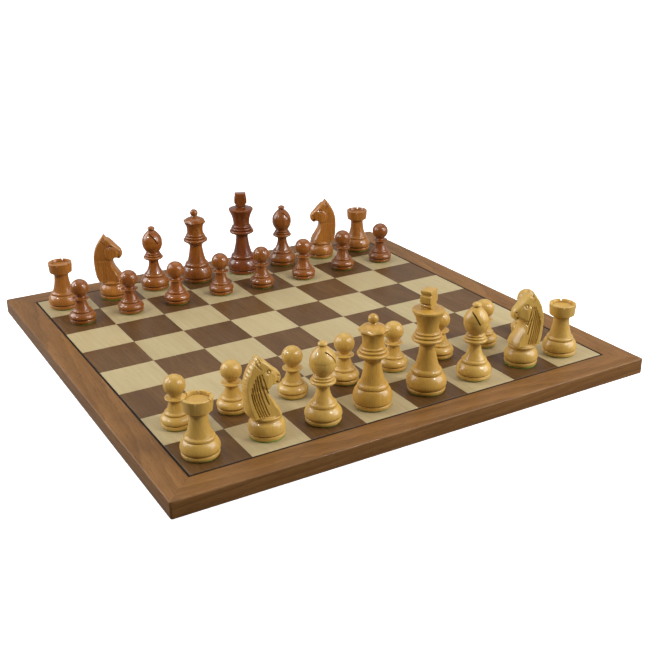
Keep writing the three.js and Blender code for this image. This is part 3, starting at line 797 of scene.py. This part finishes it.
def head_mesh(height, groove_depth):
    """The carved head, its foot at the origin and its height in metres.

    The side view is laid on both flanks, and its rim is closed between them.
    """
    points, triangles, outline, grooves = head_side_view()
    sides = outline[outline[:, 1] > FOOT_SLICE]
    gap = int(np.argmax(np.hypot(*np.diff(sides, axis=0).T)))
    sides = np.vstack([sides[gap + 1:], sides[: gap + 1]])
    half = head_half_thickness(points, sides, grooves, groove_depth)
    scale = height / (HEAD_HEIGHT * MM)
    count = len(points)
    left = [(x, t, z * scale) for (x, z), t in zip(points, half)]
    right = [(x, -t, z * scale) for (x, z), t in zip(points, half)]
    faces, uses = [], {}
    for triangle in triangles:
        faces += [tuple(triangle), tuple(count + i for i in reversed(triangle))]
        for start, end in zip(triangle, triangle[1:] + triangle[:1]):
            uses.setdefault(frozenset((start, end)), []).append((start, end))
    for way in uses.values():
        if len(way) == 1:
            start, end = way[0]
            faces.append((end, start, start + count, end + count))
    mesh = mesh_from("head", left + right, faces)
    between_ears = box_mesh("notch", (7.0, 6.0, 6.0), (-4.9, 0, 43.2), [("X", 45)])
    return smooth(sawn(mesh, [between_ears]), 50)


# ---- The board ----

RAIL_EDGE = 0.9  # the rounding of a rail's long outer edges,
CORNER = 1.4     # and of the board's four upright corners
INNER_EDGE = 0.15
MITRE_GAP = 0.1
TONGUE_GROOVE_DEPTH = 5.3
TONGUE_GROOVE_BOTTOM = 3.7
TONGUE_GROOVE_TOP = 8.3
SQUARE_GAP = 0.03  # half the gap between two squares
SQUARE_EDGE = 0.12


def quarter(middle_d, middle_z, radius, first, last):
    """Points of a rounded edge in a rail's section, between two angles in degrees."""
    angles = [math.radians(first + (last - first) * i / 4) for i in range(5)]
    return [(middle_d + radius * math.cos(a), middle_z + radius * math.sin(a)) for a in angles]


def rail_mesh(half_length, width, thickness):
    """One mitred rail: its outer face along local X at y = 0, its inner face towards +Y."""
    section = quarter(RAIL_EDGE, RAIL_EDGE, RAIL_EDGE, 270, 180)
    section += quarter(RAIL_EDGE, thickness - RAIL_EDGE, RAIL_EDGE, 180, 90)
    groove_floor = width - TONGUE_GROOVE_DEPTH
    section += [(width - INNER_EDGE, thickness), (width, thickness - INNER_EDGE),
                (width, TONGUE_GROOVE_TOP), (groove_floor, TONGUE_GROOVE_TOP),
                (groove_floor, TONGUE_GROOVE_BOTTOM), (width, TONGUE_GROOVE_BOTTOM), (width, 0.0)]
    vertices = []
    ends = [(-1, 45), (-1, 30), (-1, 15), (-1, 0), (1, 0), (1, 15), (1, 30), (1, 45)]
    for end, degrees in ends:
        turn = math.radians(degrees)
        for depth, z in section:
            if depth < CORNER:
                reach = CORNER - depth
                x = half_length - CORNER + reach * math.sin(turn)
                y = CORNER - reach * math.cos(turn)
            else:
                x, y = half_length - depth, depth
            vertices.append((end * (x - MITRE_GAP / 2), y, z))
    size = len(section)
    faces = [tuple(range(size)), tuple(reversed(range(len(vertices) - size, len(vertices))))]
    for step in range(len(ends) - 1):
        low, high = step * size, (step + 1) * size
        for i in range(size):
            after = (i + 1) % size
            faces.append((low + i, high + i, high + after, low + after))
    return smooth(mesh_from("rail", vertices, faces), 40)


def squares_mesh(low, high, dark):
    """The dark or the light squares, each its own sheet of veneer with softened edges."""
    side = (high.x - low.x) / SQUARES_A_SIDE / MM
    bottom, top = low.z / MM, high.z / MM
    rims = ((SQUARE_GAP, bottom), (SQUARE_GAP, top - SQUARE_EDGE), (SQUARE_GAP + SQUARE_EDGE, top))
    vertices, faces = [], []
    for file in range(SQUARES_A_SIDE):
        for rank in range(SQUARES_A_SIDE):
            if ((file + rank) % 2 == 0) != dark:
                continue
            first = len(vertices)
            x, y = low.x / MM + file * side, low.y / MM + rank * side
            for inset, z in rims:
                left, right = x + inset, x + side - inset
                near_side, far_side = y + inset, y + side - inset
                vertices += [(left, near_side, z), (right, near_side, z), (right, far_side, z),
                             (left, far_side, z)]
            faces.append(tuple(first + i for i in (3, 2, 1, 0)))
            faces.append(tuple(first + 8 + i for i in range(4)))
            for row in (0, 4):
                for i in range(4):
                    after = (i + 1) % 4
                    faces.append(tuple(first + row + k for k in (i, after, 4 + after, 4 + i)))
    return mesh_from("squares", vertices, faces)


field_low, field_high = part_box("playing_field")
for name, dark, material in (("walnut_squares", True, dark_square_wood),
                             ("maple_squares", False, light_square_wood)):
    new_piece(name, squares_mesh(field_low, field_high, dark), material, "board",
              ["playing_field"])

for quarter_turns, name in enumerate(("rail_front", "rail_right", "rail_back", "rail_left")):
    low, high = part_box(name)
    long_way = max(high.x - low.x, high.y - low.y)
    width = min(high.x - low.x, high.y - low.y)
    turn = Matrix.Rotation(math.radians(90 * quarter_turns), 3, "Z")
    mesh = rail_mesh(long_way / 2 / MM, width / MM, (high.z - low.z) / MM)
    new_piece(name + "_fine", mesh, rail_wood, "board", [name],
              turn @ Vector((0, -long_way / 2, 0)), 90 * quarter_turns)

for name, material in (("stringing", dyed_wood), ("core_panel", core_board),
                       ("backing_sheet", backing_wood)):
    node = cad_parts[name]
    node.data.materials.clear()
    node.data.materials.append(material)


# ---- The men ----

def standing(node):
    """Where a man's base stands: its axis and bottom, from its node's box, and its height."""
    low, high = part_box(node)
    return Vector(((low.x + high.x) / 2, (low.y + high.y) / 2, low.z)), high.z - low.z


FELT_AND_GLUE = 0.9  # a pawn's CAD node reaches down through both
GLUE = 0.3           # the feet reach down over the CAD model's gap for glue
FELT_GAP = 0.05      # under a felt, and between it and the foot above it
FELT_INSET = 0.7
FELT_BULGE = 0.45    # of a felt's soft edge
BOARD_TOP = field_high.z
BISHOP_CUT = {"size": (18, 1.05, 12), "out": 12.2, "back": -2.4, "down": 9.5, "slant": 28}
ROOK_CUT = (30, 1.1, 3.6)
ROOK_CUTS = 3
TURNINGS = {"king": king_turning, "queen": queen_turning, "bishop": bishop_turning,
            "knight": knight_turning, "rook": rook_turning, "pawn": pawn_turning}
FEET = {"king": 13.0, "queen": 12.6, "bishop": 11.6, "knight": 12.0, "rook": 11.8, "pawn": 9.9}
BACK_RANK = ("rook_a", "knight_b", "bishop_c", "queen", "king", "bishop_f", "knight_g", "rook_h")
PAWNS = tuple("pawn_" + file for file in "abcdefgh")


def felt_mesh(foot, thickness):
    """A disc of felt with a soft edge, cut to fit under a foot of a given radius."""
    radius = foot - FELT_INSET
    turning = Turning(radius).element(radius, thickness / MM, radius + FELT_BULGE, BEAD)
    return smooth(lathe("felt", turning.element(0.0, 0.0), thickness), 50)


def man_mesh(kind, height):
    """A man of a given kind, without a knight's head, and with a height in metres."""
    turning = TURNINGS[kind]()
    top = height / MM
    if kind == "queen":
        mesh = lathe(kind, turning, height, scalloped)
    elif kind == "king":
        mesh = lathe(kind, turning, height - FINIAL_HEIGHT * MM)
        mesh = joined(mesh, finial_mesh(top - FINIAL_HEIGHT))
    elif kind == "bishop":
        place = (BISHOP_CUT["out"], BISHOP_CUT["back"], top - BISHOP_CUT["down"])
        slot = box_mesh("slot", BISHOP_CUT["size"], place, [("X", BISHOP_CUT["slant"])])
        mesh = sawn(lathe(kind, turning, height), [slot])
    elif kind == "rook":
        angles = [30 + 180 / ROOK_CUTS * i for i in range(ROOK_CUTS)]
        saw_cuts = [box_mesh("cut", ROOK_CUT, (0, 0, top), [("Z", angle)]) for angle in angles]
        mesh = sawn(lathe(kind, turning, height), saw_cuts)
    else:
        mesh = lathe(kind, turning, height)
    return smooth(mesh)


def facing(colour, name):
    """Which way a man is turned on its square, in degrees."""
    kind, _, file = name.partition("_")
    if kind == "king":
        return KING_FACING[colour]
    if kind == "queen":
        return QUEEN_FACING
    if kind == "bishop":
        return BISHOP_FACING[colour + "_" + file]
    if kind == "knight":
        return KNIGHT_FACING[colour + "_" + file]
    if kind == "rook":
        return ROOK_FACING[file]
    return PAWN_TURN * (ord(file) - ord("a"))


shared = {}


def shared_mesh(kind, colour, make):
    """One mesh for all the men of a kind and colour."""
    if (kind, colour) not in shared:
        if (kind, "first") not in shared:
            shared[(kind, "first")] = make()
        shared[(kind, colour)] = shared[(kind, "first")].copy()
    return shared[(kind, colour)]


def set_man(colour, name):
    """One man in its place, with its felt and, on a knight, its head."""
    kind = name.partition("_")[0]
    node = colour + "_" + name
    body = node + "_man"
    material = WOODS[colour][kind]
    turn = facing(colour, name)
    foot, height = standing(node)
    if kind == "pawn":
        foot.z += FELT_AND_GLUE * MM
        height -= FELT_AND_GLUE * MM
    foot.z -= GLUE * MM
    height += GLUE * MM
    mesh = shared_mesh(kind, colour, lambda: man_mesh(kind, height))
    new_piece(node + "_turned", mesh, material, body, [node], foot, turn)
    if kind == "knight":
        head_node = node + "_head"
        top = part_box(head_node)[1].z
        groove_depth = MANE_GROOVE_DEPTHS[colour]
        mesh = shared_mesh("head_" + colour, colour,
                           lambda: head_mesh(top - foot.z - height, groove_depth))
        new_piece(node + "_carved", mesh, material, body, [head_node],
                  foot + Vector((0, 0, height)), turn)
    felt = shared_mesh("felt_" + kind, "green",
                       lambda: felt_mesh(FEET[kind], foot.z - BOARD_TOP - FELT_GAP * MM))
    under = Vector((foot.x, foot.y, BOARD_TOP + FELT_GAP * MM))
    new_piece(node + "_felt_disc", felt, felt_green, body,
              [] if kind == "pawn" else [node + "_felt"], under)


for colour, slot in (("white", "boxwood"), ("black", "sheesham")):
    for name in BACK_RANK + PAWNS:
        set_man(colour, name)


# ---- Studio ----

FLOOR_GLOW = 0.75
FLOOR_REACH = 14.0   # metres each way
FLOOR_DROP = 0.0002  # below the board, so that their faces don't share a plane
SKY_FRONT, SKY_BACK = 0.13, 0.42
CAMERA_AZIMUTH = -30.037
CAMERA_ELEVATION = 22.652
CAMERA_ROLL = -0.649
CAMERA_DISTANCE = 0.8088
CAMERA_TARGET = (0.0195, -0.0081, 0.012)
CAMERA_LENS = 54.81
SOFTBOXES = (  # name, turn from the camera, elevation, distance, side, power
    ("top_softbox", 180, 72, 1.5, 1.3, 4.3),
    ("left_softbox", -100, 28, 1.3, 0.8, 9),
    ("right_softbox", 80, 26, 1.1, 0.7, 7),
    ("left_lamp", -62, 42, 1.4, 0.13, 4.6),
    ("right_lamp", 58, 42, 1.4, 0.16, 6),
)


def pointing(azimuth, elevation):
    """The direction from the board towards an azimuth and elevation in radians."""
    level_part = math.cos(elevation)
    return Vector((math.sin(azimuth) * level_part, -math.cos(azimuth) * level_part,
                   math.sin(elevation)))


def floor():
    """A wide pale floor that throws no light back on the set."""
    n = Nodes("studio_floor")
    place = n.add("TexCoord", {}, "Object")
    tone = n.noise(place, 14.0, 3.0)
    colour = n.ramp(tone, [(0.3, srgb(240, 240, 240)), (0.7, srgb(247, 247, 247))])
    n.fill(n.shader, {"Base Color": colour, "Roughness": 0.9, "Specular IOR Level": 0.1,
                      "Emission Color": (1, 1, 1, 1), "Emission Strength": FLOOR_GLOW})
    corners = [(x * FLOOR_REACH, y * FLOOR_REACH, 0) for x, y in ((-1, -1), (1, -1), (1, 1), (-1, 1))]
    mesh = bpy.data.meshes.new("studio_floor")
    mesh.from_pydata(corners, [], [(0, 1, 2, 3)])
    mesh.materials.append(n.material)
    ground = bpy.data.objects.new("studio_floor", mesh)
    ground.location.z = -FLOOR_DROP
    ground.visible_diffuse = False
    ground.visible_glossy = False
    bpy.context.collection.objects.link(ground)


def softbox(name, azimuth, elevation, distance, side, power):
    """A square light that faces the board from a direction given in degrees."""
    towards = pointing(math.radians(azimuth), math.radians(elevation))
    light = bpy.data.lights.new(name, "AREA")
    light.shape = "RECTANGLE"
    light.size = side
    light.size_y = side
    light.energy = power
    lamp = bpy.data.objects.new(name, light)
    lamp.location = towards * distance
    lamp.rotation_mode = "QUATERNION"
    lamp.rotation_quaternion = towards.to_track_quat("Z", "Y")
    bpy.context.collection.objects.link(lamp)


def studio_camera():
    """The camera, aimed at the board and rolled a little."""
    azimuth, elevation, roll = map(math.radians, (CAMERA_AZIMUTH, CAMERA_ELEVATION, CAMERA_ROLL))
    right = Vector((math.cos(azimuth), math.sin(azimuth), 0))
    back = pointing(azimuth, elevation)
    up = back.cross(right)
    across = right * math.cos(roll) + up * math.sin(roll)
    upward = up * math.cos(roll) - right * math.sin(roll)
    lens_data = bpy.data.cameras.new("studio_camera")
    lens_data.lens = CAMERA_LENS
    lens_data.clip_start = 0.01
    lens_data.clip_end = 60
    camera = bpy.data.objects.new("studio_camera", lens_data)
    place = Matrix((across, upward, back)).transposed().to_4x4()
    place.translation = Vector(CAMERA_TARGET) + back * CAMERA_DISTANCE
    camera.matrix_world = place
    bpy.context.collection.objects.link(camera)
    bpy.context.scene.camera = camera


def studio_sky():
    """A white sky, dim behind the camera and bright behind the board."""
    azimuth = math.radians(CAMERA_AZIMUTH)
    behind_board = Vector((-math.sin(azimuth), math.cos(azimuth), 0.3)).normalized()
    world = bpy.data.worlds.new("studio")
    world.use_nodes = True
    sky = world.node_tree
    direction = sky.nodes.new("ShaderNodeTexCoord")
    facing_back = sky.nodes.new("ShaderNodeVectorMath")
    facing_back.operation = "DOT_PRODUCT"
    facing_back.inputs[1].default_value = behind_board
    sky.links.new(direction.outputs["Generated"], facing_back.inputs[0])
    level = sky.nodes.new("ShaderNodeMapRange")
    level.interpolation_type = "SMOOTHSTEP"
    limits = {"From Min": -0.7, "From Max": 0.9, "To Min": SKY_FRONT, "To Max": SKY_BACK}
    for socket, value in limits.items():
        level.inputs[socket].default_value = value
    sky.links.new(facing_back.outputs["Value"], level.inputs["Value"])
    sky.nodes["Background"].inputs["Color"].default_value = (1, 1, 1, 1)
    sky.links.new(level.outputs[0], sky.nodes["Background"].inputs["Strength"])
    bpy.context.scene.world = world


studio_sky()
bpy.context.scene.view_settings.view_transform = "Standard"
floor()
for name, turn_from_camera, elevation, distance, side, power in SOFTBOXES:
    softbox(name, CAMERA_AZIMUTH + turn_from_camera, elevation, distance, side, power)
studio_camera()
